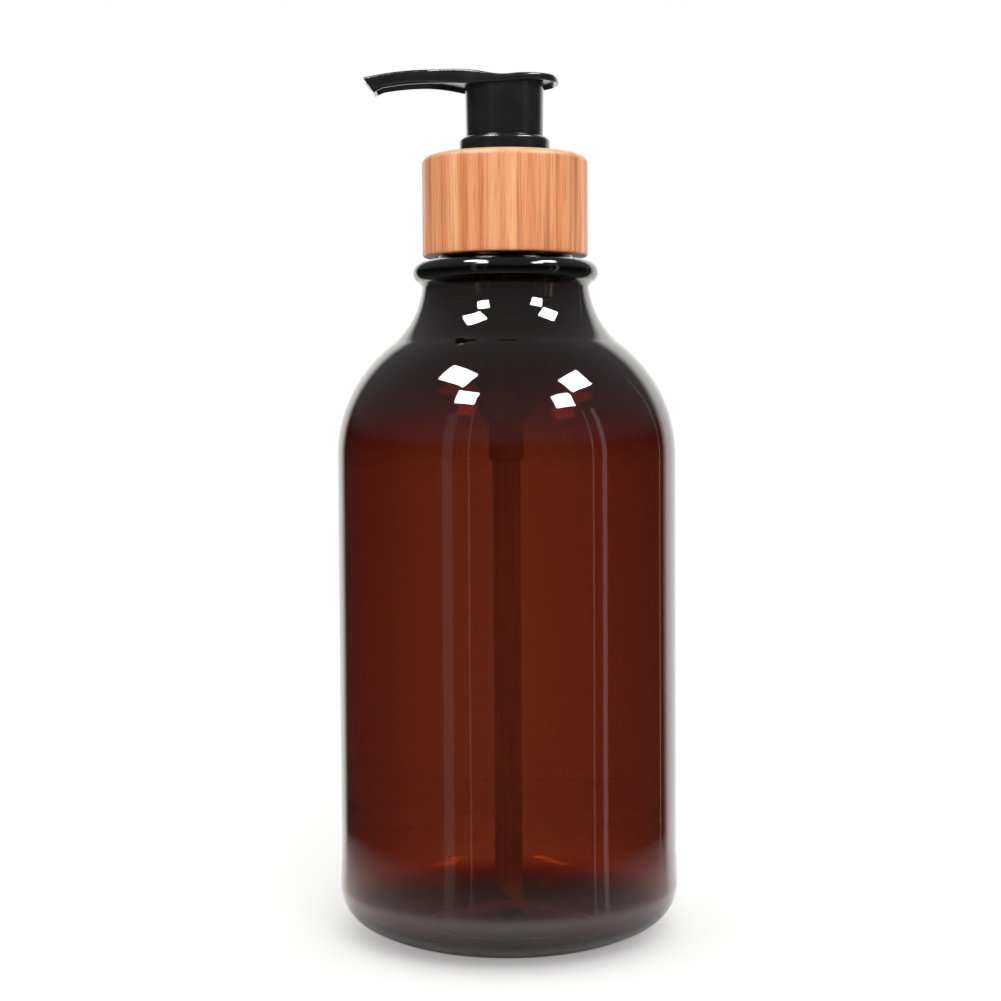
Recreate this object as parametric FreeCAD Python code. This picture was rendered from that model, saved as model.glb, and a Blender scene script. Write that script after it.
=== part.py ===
import FreeCAD, Part
import math
import os

# Amber lotion bottle of 500 ml with a bamboo-clad screw pump.
# Millimetres. Z is the bottle's axis, Z = 0 is the surface it stands on,
# and the spout points along -X.

Vector = FreeCAD.Vector
UP = Vector(0, 0, 1)
BOTTLE_AXIS_POINT = Vector(0, 0, 0)

# --- bottle ---------------------------------------------------------------
BODY_R = 37.5
WALL = 0.9
NECK_WALL = 1.1             # a blown wall is thickest where it was stretched least
SHOULDER_IN_R = 30.1        # the inside curves tighter than the outside, so the wall grows upwards
WAIST_IN_R = 19.4
BORE_ROUND = 2.8            # from the neck's inside to the underside of the mouth
LIP_CHAMFER = 0.4
FOOT_IN_R = 17.2            # the ring that the bottle stands on
FOOT_OUT_R = 19.0
PUSH_UP = 4.0               # height of the domed base over the foot
HEEL_R = 37.8               # the heel swells a little beyond the body
HEEL_Z = 11.9
HEEL_ROUND = 9.5
FLARE_R = 230.0             # hollow curve that runs from the heel into the body
SHOULDER_Z = 106.0
SHOULDER_R = 31.25          # round shoulder, bulging
WAIST_R = 18.7              # hollow curve from shoulder to neck
WAIST_NECK_R = 18.3
NECK_IN_R = WAIST_NECK_R - NECK_WALL
NECK_Z = 143.2              # where the hollow curve meets the bead
BEAD_CENTRE_R = 18.0
BEAD_Z = 146.3
BEAD_R = 2.5
BEAD_BOTTOM_DEG = -70.0
BEAD_TOP_DEG = 80.0         # where the bead's round edge turns into its sloping top
FINISH_BASE_R = 12.9
FINISH_BASE_Z = 149.3
FINISH_STEP_Z = 151.0
FINISH_R = 12.5             # neck under the screw thread
FINISH_TOP_Z = 167.0
MOUTH_R = 10.9

# --- screw thread ---------------------------------------------------------
THREAD_PITCH = 4.233        # six turns to the inch
THREAD_TURNS = 1.5
THREAD_DEPTH = 0.6
THREAD_WIDTH = 1.5
BOTTLE_THREAD_Z = 157.5
CAP_THREAD_Z = 155.4

# --- closure and sleeve ---------------------------------------------------
GASKET_T = 0.9
GASKET_IN_R = 10.65
FLANGE_R = 13.0
FLANGE_T = 1.0
FLANGE_Z = FINISH_TOP_Z + GASKET_T
DECK_Z = FLANGE_Z + FLANGE_T
DECK_T = 1.0
CAP_IN_R = 13.95
CAP_OUT_R = 14.7
CAP_BOTTOM_Z = 149.5
CAP_CHAMFER = 0.3
CAP_HOLE_R = 9.9
SLEEVE_R = 18.2
SLEEVE_BOTTOM_Z = 149.9
SLEEVE_TOP_Z = 171.7
SLEEVE_ROUND = 1.6
SLEEVE_CHAMFER = 0.5
SLEEVE_FIT = 0.05
SLEEVE_HOLE_R = 10.25
SLEEVE_POCKET_R = 11.4      # room for the lock ring's hidden flange
SLEEVE_POCKET_Z = 170.65

# --- lock ring ------------------------------------------------------------
RING_R = 9.95
RING_TOP_Z = 175.8
RING_BEVEL = 0.9            # height of the two slopes that round the upper edge
RING_BORE_R = 8.85
RING_PLUG_R = 9.65
RING_FLANGE_R = 11.0
RING_FLANGE_Z = DECK_Z + DECK_T + 0.05
RING_FLANGE_T = 0.6
RING_FLOOR_Z = 160.0
RING_FLOOR_T = 1.2
GUIDE_R = 3.65

# --- pump housing ---------------------------------------------------------
CUP_OUT_R = 10.5
CUP_IN_R = 9.7
CUP_FLOOR_T = 1.2
BARREL_R = 5.5
BARREL_OUT_R = 6.5
BARREL_CONE_Z = 153.5
SHELF_Z = 117.8             # the spring stands on this step
SHELF_T = 1.0
SHELF_CONE_H = 2.5
CHAMBER_R = 3.1             # room for the inlet ball
CHAMBER_OUT_R = 3.8
SEAT_TOP_Z = 112.2
SEAT_Z = 110.4
SEAT_R = 1.9
SOCKET_TOP_Z = 109.6
SOCKET_Z = 105.2
SOCKET_CHAMFER = 0.5
NUB_Z = 115.0               # four nubs keep the ball in its chamber
NUB_H = 1.6
NUB_IN_R = 2.0
NUB_ROOT = 0.3              # how far a nub is sunk into the wall
NUB_W = 1.0
NUB_COUNT = 4
VENT_R = 0.5
VENT_Z = 153.0

# --- moving pump parts ----------------------------------------------------
STEM_R = 3.5
STEM_BORE_R = 2.0
STEM_BOTTOM_Z = 148.5
STEM_TOP_Z = 184.6
PORT_R = 0.8
PORT_Z = 150.4
PISTON_R = 5.45
PISTON_WAIST_R = 4.7
PISTON_BORE_R = 3.56
PISTON_LIP = 1.2
PISTON_CHAMFER = 0.35
PISTON_Z = 148.6
PISTON_TOP_Z = 157.6
PISTON_RELIEF_R = 4.1       # widened foot of the bore, around the stem's ports
PISTON_RELIEF_Z = 151.6
PLUG_FLANGE_R = 4.6
PLUG_Z = 143.0
PLUG_FLANGE_Z = 147.0
PLUG_PILOT_R = 2.9
PLUG_PIN_R = 1.95
PLUG_PIN_TOP_Z = 149.4
PLUG_PIN_CHAMFER = 0.3
PLUG_PILOT_TAPER = 1.0
PLUG_PILOT_TAPER_H = 1.5
SPRING_R = 4.05             # centre of the wire
SPRING_WIRE_R = 0.4
SPRING_TURNS = 10.0
SPRING_GAP = 0.02           # the free spring just clears the step and the plug
BALL_R = 2.5
SEAT_CLEARANCE = 0.03

# --- dip tube -------------------------------------------------------------
TUBE_OUT_R = 3.08
TUBE_IN_R = 2.3
TUBE_BOTTOM_Z = 6.0
TUBE_CUT_DEG = 35.0

# --- actuator head --------------------------------------------------------
SKIRT_Z = 173.6
SKIRT_BOTTOM_R = 8.45
SKIRT_TOP_R = 8.65
SKIRT_T = 1.1
SKIRT_ROOF_Z = 185.4
SKIRT_OVERLAP = 1.2         # how far the skirt runs up into the head
HEAD_SEAT_Z = 186.7         # underside of the head beside the skirt
BOSS_R = 4.7
BOSS_Z = 176.0
TIP_X = -30.9
TIP_TOP_Z = 188.7
TIP_FOOT_X = -28.9
TIP_FOOT_Z = 186.0
TIP_HALF_W = 4.0
SPOUT_HALF_W = 4.9
SPOUT_FLARE_X = -14.7
HUMP_X = -16.5
HUMP_Z = 190.3
PALM_X = -1.5               # the thumb rest runs straight from here to the back
PALM_Z = 188.5
BACK_X = 11.9
BACK_Z = 189.0
BACK_T = 1.6                # thickness of the thumb rest at its edge
BACK_RISE = 0.7             # its underside climbs this much from the spout to the skirt's back
BACK_ROUND_W = 1.0
BACK_ROUND_H = 1.0
SPOUT_ARCH = 1.2            # height of the hollow under the spout
PALM_R = 9.66
PALM_CENTRE_X = BACK_X - PALM_R
PALM_JOIN_DEG = 120.0
CHANNEL_R = 0.9
CHANNEL_START_Z = 187.0
CHANNEL_DEPTH = 1.6         # its centre lies this far under the hump
CHANNEL_DROP = 0.2          # and this far under the middle of the tip
BORE_TOP_Z = 187.7          # the bore above the stem ends here, inside the head


def polar(centre_r, centre_z, radius, degrees):
    """Point on a circle in the outline plane."""
    angle = math.radians(degrees)
    return centre_r + radius * math.cos(angle), centre_z + radius * math.sin(angle)


def to_3d(point):
    return Vector(point[0], 0, point[1])


class Outline:
    """A closed outline in the XZ plane, made of lines and three-point arcs."""

    def __init__(self, x, z):
        self.first = (x, z)
        self.last = (x, z)
        self.edges = []

    def line(self, x, z):
        self.edges.append(Part.makeLine(to_3d(self.last), to_3d((x, z))))
        self.last = (x, z)

    def arc(self, via, end):
        curve = Part.Arc(to_3d(self.last), to_3d(via), to_3d(end))
        self.edges.append(curve.toShape())
        self.last = end

    def sweep(self, centre_x, centre_z, radius, start_deg, end_deg):
        """Arc about a centre; the outline is already at start_deg."""
        middle = polar(centre_x, centre_z, radius, (start_deg + end_deg) / 2)
        self.arc(middle, polar(centre_x, centre_z, radius, end_deg))

    def face(self):
        if self.last != self.first:
            self.line(*self.first)
        return Part.Face(Part.Wire(self.edges))

    def lathe(self):
        return self.face().revolve(BOTTLE_AXIS_POINT, UP, 360)


def turned(*points):
    """Solid of revolution from straight-sided (radius, z) points."""
    outline = Outline(*points[0])
    for point in points[1:]:
        outline.line(*point)
    return outline.lathe()


def tube(inner_r, outer_r, bottom_z, top_z):
    return turned((inner_r, bottom_z), (outer_r, bottom_z), (outer_r, top_z), (inner_r, top_z))


def disc(radius, bottom_z, top_z):
    return Part.makeCylinder(radius, top_z - bottom_z, Vector(0, 0, bottom_z))


def thread_ridge(root_r, crest_r, start_z):
    """Helical ridge of trapezoid section, its root sunk slightly into the wall."""
    height = THREAD_PITCH * THREAD_TURNS
    helix = Part.makeHelix(THREAD_PITCH, height, root_r)
    helix.translate(Vector(0, 0, start_z))
    sunk = 0.2 if crest_r > root_r else -0.2
    half_root = THREAD_WIDTH / 2
    half_crest = THREAD_WIDTH / 4
    corners = [
        Vector(root_r - sunk, 0, start_z - half_root),
        Vector(crest_r, 0, start_z - half_crest),
        Vector(crest_r, 0, start_z + half_crest),
        Vector(root_r - sunk, 0, start_z + half_root),
    ]
    section = Part.makePolygon(corners + corners[:1])
    return Part.Wire(helix.Edges).makePipeShell([section], True, True)


# --- bottle ---------------------------------------------------------------
def body_outline(inset):
    """Outline of the blown body from its axis up to the shoulder, set in by a wall."""
    dome_r = (FOOT_IN_R ** 2 + PUSH_UP ** 2) / (2 * PUSH_UP)
    dome_z = PUSH_UP - dome_r
    dome_deg = math.degrees(math.asin(FOOT_IN_R / dome_r))
    heel_x = HEEL_R - HEEL_ROUND
    reach = heel_x - FOOT_OUT_R
    under_r = (reach ** 2 + HEEL_Z ** 2 - HEEL_ROUND ** 2) / (2 * (HEEL_Z - HEEL_ROUND))
    under_deg = math.degrees(math.atan2(HEEL_Z - under_r, reach))
    swell = HEEL_R - BODY_R
    flare_rise = math.sqrt(2 * (HEEL_ROUND + FLARE_R) * swell - swell ** 2)
    flare_deg = math.degrees(math.asin(flare_rise / (HEEL_ROUND + FLARE_R)))

    body = Outline(0, PUSH_UP + inset)
    body.arc(
        polar(0, dome_z, dome_r + inset, 90 - dome_deg / 2),
        polar(0, dome_z, dome_r + inset, 90 - dome_deg),
    )
    body.line(FOOT_OUT_R, inset)
    body.sweep(FOOT_OUT_R, under_r, under_r - inset, -90, under_deg)
    body.sweep(heel_x, HEEL_Z, HEEL_ROUND - inset, under_deg, flare_deg)
    body.sweep(BODY_R + FLARE_R, HEEL_Z + flare_rise, FLARE_R + inset, 180 + flare_deg, 180)
    body.line(BODY_R - inset, SHOULDER_Z)
    return body


def neck_curves(outline, shoulder_r, waist_r, neck_r, top_z):
    """Round shoulder running smoothly into the hollow waist, up to top_z or to the vertical."""
    shoulder_x = outline.last[0] - shoulder_r
    waist_x = neck_r + waist_r
    waist_z = SHOULDER_Z + math.sqrt((shoulder_r + waist_r) ** 2 - (waist_x - shoulder_x) ** 2)
    lean = math.degrees(math.atan2(waist_z - SHOULDER_Z, waist_x - shoulder_x))
    below_vertical = max(waist_z - top_z, 0)
    waist_end = 180 + math.degrees(math.asin(below_vertical / waist_r))
    outline.sweep(shoulder_x, SHOULDER_Z, shoulder_r, 0, lean)
    outline.sweep(waist_x, waist_z, waist_r, 180 + lean, waist_end)


def cavity_outline(top_z):
    """Inside of the bottle, closed off at top_z."""
    inner = body_outline(WALL)
    neck_curves(inner, SHOULDER_IN_R, WAIST_IN_R, NECK_IN_R, FINISH_BASE_Z)
    roof_z = FINISH_BASE_Z - WALL
    inner.line(NECK_IN_R, roof_z - BORE_ROUND)
    inner.sweep(NECK_IN_R - BORE_ROUND, roof_z - BORE_ROUND, BORE_ROUND, 0, 90)
    inner.line(MOUTH_R, roof_z)
    inner.line(MOUTH_R, top_z)
    inner.line(0, top_z)
    return inner


def bottle():
    outer = body_outline(0)
    neck_curves(outer, SHOULDER_R, WAIST_R, WAIST_NECK_R, NECK_Z)
    bead_bottom = polar(BEAD_CENTRE_R, BEAD_Z, BEAD_R, BEAD_BOTTOM_DEG)
    below_bead = (outer.last[0] + 0.1, (outer.last[1] + bead_bottom[1]) / 2 + 0.1)
    outer.arc(below_bead, bead_bottom)
    outer.sweep(BEAD_CENTRE_R, BEAD_Z, BEAD_R, BEAD_BOTTOM_DEG, BEAD_TOP_DEG)
    outer.line(FINISH_BASE_R, FINISH_BASE_Z)
    outer.line(FINISH_BASE_R, FINISH_STEP_Z)
    outer.line(FINISH_R, FINISH_STEP_Z)
    outer.line(FINISH_R, FINISH_TOP_Z - LIP_CHAMFER)
    outer.line(FINISH_R - LIP_CHAMFER, FINISH_TOP_Z)
    outer.line(0, FINISH_TOP_Z)
    shell = outer.lathe().cut(cavity_outline(FINISH_TOP_Z + 1).lathe())
    ridge = thread_ridge(FINISH_R, FINISH_R + THREAD_DEPTH, BOTTLE_THREAD_Z)
    return shell.fuse(ridge).removeSplitter()


def cavity_volume():
    """Brimful volume of the empty bottle."""
    return cavity_outline(FINISH_TOP_Z).lathe().Volume


# --- closure --------------------------------------------------------------
def bamboo_sleeve():
    sleeve = Outline(CAP_OUT_R + SLEEVE_FIT, SLEEVE_BOTTOM_Z)
    sleeve.line(SLEEVE_R - SLEEVE_CHAMFER, SLEEVE_BOTTOM_Z)
    sleeve.line(SLEEVE_R, SLEEVE_BOTTOM_Z + SLEEVE_CHAMFER)
    sleeve.line(SLEEVE_R, SLEEVE_TOP_Z - SLEEVE_ROUND)
    sleeve.sweep(SLEEVE_R - SLEEVE_ROUND, SLEEVE_TOP_Z - SLEEVE_ROUND, SLEEVE_ROUND, 0, 90)
    sleeve.line(SLEEVE_HOLE_R, SLEEVE_TOP_Z)
    sleeve.line(SLEEVE_HOLE_R, SLEEVE_POCKET_Z)
    sleeve.line(SLEEVE_POCKET_R, SLEEVE_POCKET_Z)
    sleeve.line(SLEEVE_POCKET_R, DECK_Z + DECK_T)
    sleeve.line(CAP_OUT_R + SLEEVE_FIT, DECK_Z + DECK_T)
    return sleeve.lathe()


def closure_cap():
    body = turned(
        (CAP_IN_R, CAP_BOTTOM_Z),
        (CAP_OUT_R - CAP_CHAMFER, CAP_BOTTOM_Z),
        (CAP_OUT_R, CAP_BOTTOM_Z + CAP_CHAMFER),
        (CAP_OUT_R, DECK_Z + DECK_T),
        (CAP_HOLE_R, DECK_Z + DECK_T),
        (CAP_HOLE_R, DECK_Z),
        (CAP_IN_R, DECK_Z),
    )
    ridge = thread_ridge(CAP_IN_R, CAP_IN_R - THREAD_DEPTH, CAP_THREAD_Z)
    return body.fuse(ridge).removeSplitter()


def neck_gasket():
    return tube(GASKET_IN_R, FLANGE_R, FINISH_TOP_Z, FLANGE_Z)


def lock_ring():
    return turned(
        (GUIDE_R, RING_FLOOR_Z),
        (RING_PLUG_R, RING_FLOOR_Z),
        (RING_PLUG_R, RING_FLANGE_Z),
        (RING_FLANGE_R, RING_FLANGE_Z),
        (RING_FLANGE_R, RING_FLANGE_Z + RING_FLANGE_T),
        (RING_R, RING_FLANGE_Z + RING_FLANGE_T),
        (RING_R, RING_TOP_Z - RING_BEVEL),
        (RING_R - RING_BEVEL / 3, RING_TOP_Z - RING_BEVEL / 3),
        (RING_R - RING_BEVEL / 2, RING_TOP_Z),
        (RING_BORE_R, RING_TOP_Z),
        (RING_BORE_R, RING_FLOOR_Z + RING_FLOOR_T),
        (GUIDE_R, RING_FLOOR_Z + RING_FLOOR_T),
    )


# --- pump -----------------------------------------------------------------
def pump_housing():
    floor_z = RING_FLOOR_Z - CUP_FLOOR_T
    shell = turned(
        (BARREL_R, RING_FLOOR_Z),
        (CUP_IN_R, RING_FLOOR_Z),
        (CUP_IN_R, DECK_Z),
        (FLANGE_R, DECK_Z),
        (FLANGE_R, FLANGE_Z),
        (CUP_OUT_R, FLANGE_Z),
        (CUP_OUT_R, floor_z),
        (BARREL_OUT_R, BARREL_CONE_Z),
        (BARREL_OUT_R, SHELF_Z - SHELF_T),
        (CHAMBER_OUT_R, SHELF_Z - SHELF_T - SHELF_CONE_H),
        (CHAMBER_OUT_R, SOCKET_Z + SOCKET_CHAMFER),
        (CHAMBER_OUT_R - SOCKET_CHAMFER, SOCKET_Z),
        (CHAMBER_R, SOCKET_Z),
        (CHAMBER_R, SOCKET_TOP_Z),
        (SEAT_R, SOCKET_TOP_Z),
        (SEAT_R, SEAT_Z),
        (CHAMBER_R, SEAT_TOP_Z),
        (CHAMBER_R, SHELF_Z),
        (BARREL_R, SHELF_Z),
    )
    reach = CHAMBER_R + NUB_ROOT - NUB_IN_R
    for index in range(NUB_COUNT):
        nub = Part.makeBox(reach, NUB_W, NUB_H, Vector(NUB_IN_R, -NUB_W / 2, NUB_Z))
        nub.rotate(BOTTLE_AXIS_POINT, UP, index * 360 / NUB_COUNT)
        shell = shell.fuse(nub)
    vent = Part.makeCylinder(VENT_R, BARREL_OUT_R + 1, Vector(0, 0, VENT_Z), Vector(0, 1, 0))
    return shell.cut(vent).removeSplitter()


def stem():
    rod = tube(STEM_BORE_R, STEM_R, STEM_BOTTOM_Z, STEM_TOP_Z)
    ports = Part.makeCylinder(PORT_R, 2 * STEM_R + 2, Vector(-STEM_R - 1, 0, PORT_Z), Vector(1, 0, 0))
    return rod.cut(ports)


def stem_plug():
    return turned(
        (0, PLUG_Z),
        (PLUG_PILOT_R - PLUG_PILOT_TAPER, PLUG_Z),
        (PLUG_PILOT_R, PLUG_Z + PLUG_PILOT_TAPER_H),
        (PLUG_PILOT_R, PLUG_FLANGE_Z),
        (PLUG_FLANGE_R, PLUG_FLANGE_Z),
        (PLUG_FLANGE_R, STEM_BOTTOM_Z),
        (PLUG_PIN_R, STEM_BOTTOM_Z),
        (PLUG_PIN_R, PLUG_PIN_TOP_Z - PLUG_PIN_CHAMFER),
        (PLUG_PIN_R - PLUG_PIN_CHAMFER, PLUG_PIN_TOP_Z),
        (0, PLUG_PIN_TOP_Z),
    )


def piston_seal():
    return turned(
        (PISTON_RELIEF_R, PISTON_Z),
        (PISTON_R - PISTON_CHAMFER, PISTON_Z),
        (PISTON_R, PISTON_Z + PISTON_CHAMFER),
        (PISTON_R, PISTON_Z + PISTON_LIP),
        (PISTON_WAIST_R, PISTON_Z + 2 * PISTON_LIP),
        (PISTON_WAIST_R, PISTON_TOP_Z - 2 * PISTON_LIP),
        (PISTON_R, PISTON_TOP_Z - PISTON_LIP),
        (PISTON_R, PISTON_TOP_Z - PISTON_CHAMFER),
        (PISTON_R - PISTON_CHAMFER, PISTON_TOP_Z),
        (PISTON_BORE_R, PISTON_TOP_Z),
        (PISTON_BORE_R, PISTON_RELIEF_Z + 0.5),
        (PISTON_RELIEF_R, PISTON_RELIEF_Z),
    )


def return_spring():
    start_z = SHELF_Z + SPRING_WIRE_R + SPRING_GAP
    end_z = PLUG_FLANGE_Z - SPRING_WIRE_R - SPRING_GAP
    height = end_z - start_z
    helix = Part.makeHelix(height / SPRING_TURNS, height, SPRING_R)
    helix.translate(Vector(0, 0, start_z))
    section = Part.makeCircle(SPRING_WIRE_R, Vector(SPRING_R, 0, start_z), Vector(0, 1, 0))
    return Part.Wire(helix.Edges).makePipeShell([Part.Wire(section)], True, True)


def inlet_ball():
    """Ball resting on the conical seat, SEAT_CLEARANCE away from it."""
    slope = math.atan2(SEAT_TOP_Z - SEAT_Z, CHAMBER_R - SEAT_R)
    lift = (BALL_R + SEAT_CLEARANCE - SEAT_R * math.sin(slope)) / math.cos(slope)
    return Part.makeSphere(BALL_R, Vector(0, 0, SEAT_Z + lift))


def dip_tube():
    pipe = tube(TUBE_IN_R, TUBE_OUT_R, TUBE_BOTTOM_Z, SOCKET_TOP_Z)
    cutter = Part.makeBox(40, 40, 20, Vector(-20, -20, -20))
    cutter.rotate(BOTTLE_AXIS_POINT, Vector(0, 1, 0), TUBE_CUT_DEG)
    cutter.translate(Vector(0, 0, TUBE_BOTTOM_Z + TUBE_OUT_R * math.tan(math.radians(TUBE_CUT_DEG))))
    return pipe.cut(cutter)


# --- actuator head --------------------------------------------------------
def head_side():
    """The head seen from the side: a humped spout and a flat thumb rest, as a slab."""
    side = Outline(TIP_X, TIP_TOP_Z)
    side.arc((HUMP_X, HUMP_Z), (PALM_X, PALM_Z))
    round_x = BACK_X - BACK_ROUND_W
    round_z = BACK_Z - BACK_ROUND_H
    side.line(round_x, BACK_Z)
    side.arc((BACK_X - 0.29 * BACK_ROUND_W, BACK_Z - 0.29 * BACK_ROUND_H), (BACK_X, round_z))
    side.line(BACK_X, BACK_Z - BACK_T)
    side.line(SKIRT_TOP_R, HEAD_SEAT_Z + BACK_RISE)
    side.line(-SKIRT_TOP_R, HEAD_SEAT_Z)
    side.arc(((TIP_FOOT_X - SKIRT_TOP_R) / 2, TIP_FOOT_Z + SPOUT_ARCH), (TIP_FOOT_X, TIP_FOOT_Z))
    slab = side.face().extrude(Vector(0, 4 * PALM_R, 0))
    slab.translate(Vector(0, -2 * PALM_R, 0))
    return slab


def head_plan():
    """The head seen from above: a narrow spout that flares into a round thumb rest."""
    join = polar(PALM_CENTRE_X, 0, PALM_R, PALM_JOIN_DEG)
    side_lean = math.atan2(SPOUT_HALF_W - TIP_HALF_W, SPOUT_FLARE_X - TIP_X)
    chord = math.atan2(join[1] - SPOUT_HALF_W, join[0] - SPOUT_FLARE_X)
    length = math.hypot(join[1] - SPOUT_HALF_W, join[0] - SPOUT_FLARE_X)
    sag = length / 2 * math.tan((chord - side_lean) / 2)
    middle_x = (SPOUT_FLARE_X + join[0]) / 2 + sag * math.sin(chord)
    middle_y = (SPOUT_HALF_W + join[1]) / 2 - sag * math.cos(chord)
    base_z = TIP_FOOT_Z - 1
    top_z = HUMP_Z + 1
    tip_x = TIP_X - 1

    def at(x, y):
        return Vector(x, y, base_z)

    def flare(side):
        start = at(SPOUT_FLARE_X, side * SPOUT_HALF_W)
        middle = at(middle_x, side * middle_y)
        return Part.Arc(start, middle, at(join[0], side * join[1])).toShape()

    def spout_side(side):
        return Part.makeLine(at(tip_x, side * TIP_HALF_W), at(SPOUT_FLARE_X, side * SPOUT_HALF_W))

    tip = Part.makeLine(at(tip_x, TIP_HALF_W), at(tip_x, -TIP_HALF_W))
    palm = Part.Arc(at(join[0], join[1]), at(BACK_X, 0), at(join[0], -join[1])).toShape()
    outline = Part.Wire([tip, spout_side(1), flare(1), palm, flare(-1), spout_side(-1)])
    return Part.Face(outline).extrude(Vector(0, 0, top_z - base_z))


def actuator_head():
    head = head_plan().common(head_side())
    skirt = turned(
        (0, SKIRT_ROOF_Z),
        (SKIRT_BOTTOM_R - SKIRT_T, SKIRT_ROOF_Z),
        (SKIRT_BOTTOM_R - SKIRT_T, SKIRT_Z),
        (SKIRT_BOTTOM_R, SKIRT_Z),
        (SKIRT_TOP_R, HEAD_SEAT_Z + SKIRT_OVERLAP),
        (0, HEAD_SEAT_Z + SKIRT_OVERLAP),
    )
    boss = disc(BOSS_R, BOSS_Z, SKIRT_ROOF_Z + 0.5)
    head = head.fuse(skirt).fuse(boss)
    head = head.cut(disc(STEM_R, BOSS_Z - 1, STEM_TOP_Z))
    head = head.cut(disc(STEM_BORE_R, STEM_TOP_Z - 1, BORE_TOP_Z))
    return head.cut(spout_channel())


def spout_channel():
    """Bore from the top of the stem over the hump and down to the tip."""
    bends = [
        Vector(0, 0, CHANNEL_START_Z),
        Vector(HUMP_X, 0, HUMP_Z - CHANNEL_DEPTH),
        Vector(TIP_X - 2, 0, (TIP_TOP_Z + TIP_FOOT_Z) / 2 - CHANNEL_DROP),
    ]
    channel = Part.makeSphere(CHANNEL_R, bends[1])
    for start, end in zip(bends, bends[1:]):
        run = end - start
        channel = channel.fuse(Part.makeCylinder(CHANNEL_R, run.Length, start, run))
    return channel


NODES = {
    "bottle": bottle,
    "bamboo_sleeve": bamboo_sleeve,
    "closure_cap": closure_cap,
    "neck_gasket": neck_gasket,
    "lock_ring": lock_ring,
    "pump_housing": pump_housing,
    "dip_tube": dip_tube,
    "inlet_ball": inlet_ball,
    "return_spring": return_spring,
    "stem_plug": stem_plug,
    "piston_seal": piston_seal,
    "stem": stem,
    "actuator_head": actuator_head,
}

os.makedirs("parts", exist_ok=True)
for name, build in NODES.items():
    shape = build()
    solids = len(shape.Solids)
    print(f"{name}: {shape.Volume:.1f} mm3, solids {solids}, valid {shape.isValid()}")
    shape.exportStep(f"parts/{name}.step")
print(f"brimful volume {cavity_volume() / 1000:.0f} ml")
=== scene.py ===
import math

import bmesh
import bpy
from mathutils import Matrix, Vector


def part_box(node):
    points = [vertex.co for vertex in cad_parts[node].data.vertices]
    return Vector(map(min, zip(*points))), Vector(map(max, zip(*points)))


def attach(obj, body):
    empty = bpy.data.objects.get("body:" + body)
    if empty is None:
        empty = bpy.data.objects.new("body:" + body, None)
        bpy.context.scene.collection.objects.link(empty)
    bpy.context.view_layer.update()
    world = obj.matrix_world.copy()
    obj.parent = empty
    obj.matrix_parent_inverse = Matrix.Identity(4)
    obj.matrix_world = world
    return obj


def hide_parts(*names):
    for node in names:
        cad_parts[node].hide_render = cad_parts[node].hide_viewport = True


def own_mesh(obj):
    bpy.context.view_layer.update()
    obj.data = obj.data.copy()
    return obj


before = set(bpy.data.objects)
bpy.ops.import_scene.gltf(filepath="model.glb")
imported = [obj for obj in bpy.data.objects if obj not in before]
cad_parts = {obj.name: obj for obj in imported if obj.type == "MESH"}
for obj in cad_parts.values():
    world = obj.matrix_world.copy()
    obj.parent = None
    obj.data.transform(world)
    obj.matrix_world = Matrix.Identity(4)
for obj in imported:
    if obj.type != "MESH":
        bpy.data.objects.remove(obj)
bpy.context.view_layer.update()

MM = 0.001

# --- sizes taken from the frame, in millimetres -------------------------------


def corners(node):
    """Lowest and highest corner of a node's box."""
    low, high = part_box(node)
    return low / MM, high / MM


BOTTLE_LOW, BOTTLE_HIGH = corners("bottle")
SLEEVE_LOW, SLEEVE_HIGH = corners("bamboo_sleeve")
RING_HIGH = corners("lock_ring")[1]
HEAD_LOW, HEAD_HIGH = corners("actuator_head")
SPRING_LOW, SPRING_HIGH = corners("return_spring")
TUBE_LOW, TUBE_HIGH = corners("dip_tube")

FINISH_TOP = BOTTLE_HIGH.z
SLEEVE_R = SLEEVE_HIGH.x
SLEEVE_BOTTOM = SLEEVE_LOW.z
SLEEVE_TOP = SLEEVE_HIGH.z
RING_TOP = RING_HIGH.z
HEAD_TIP_X = HEAD_LOW.x
HEAD_BACK_X = HEAD_HIGH.x
HEAD_TOP = HEAD_HIGH.z
SKIRT_BOTTOM = HEAD_LOW.z

# --- bottle shape, in millimetres ---------------------------------------------
HEEL_R = -BOTTLE_LOW.x
BODY_R = 37.5
FOOT_R = 19.0
FOOT_IN_R = 17.2
PUSH_UP = 4.0
HEEL_Z = 11.9
HEEL_ROUND = 9.5
FLARE_R = 230.0
SHOULDER_Z = 106.0
SHOULDER_R = 31.25
WAIST_R = 18.7
WAIST_Z = 145.34
WAIST_NECK_R = 18.3
NECK_Z = 143.2
BEAD_CENTRE_R = 18.0
BEAD_Z = 146.3
BEAD_R = 2.5
FINISH_R = 12.5
MOUTH_R = 10.9
BODY_WALL = 0.9
NECK_WALL = 2.2
THREAD_PITCH = 4.233
THREAD_TURNS = 1.5
THREAD_DEPTH = 0.6
BOTTLE_THREAD_Z = 157.5
FINISH_COLLAR_R = FINISH_R + 0.4    # short collar between the bead and the screw thread
FINISH_STEPS = 78                   # close enough for the thread's ridge to be drawn
INNER_UNEVEN = 0.045                # how far a blown inner face strays
LATHE_STEPS = 256


# --- mesh helpers ---------------------------------------------------------------
def arc(centre_r, centre_z, radius, start_deg, end_deg, steps):
    """Points along a circular arc in the outline plane, both ends included."""
    points = []
    for step in range(steps + 1):
        angle = math.radians(start_deg + (end_deg - start_deg) * step / steps)
        points.append((centre_r + radius * math.cos(angle), centre_z + radius * math.sin(angle)))
    return points


def run(start, end, steps):
    """Evenly spaced points from start to end, both ends included."""
    points = []
    for step in range(steps + 1):
        share = step / steps
        points.append((
            start[0] + (end[0] - start[0]) * share,
            start[1] + (end[1] - start[1]) * share,
        ))
    return points


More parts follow.
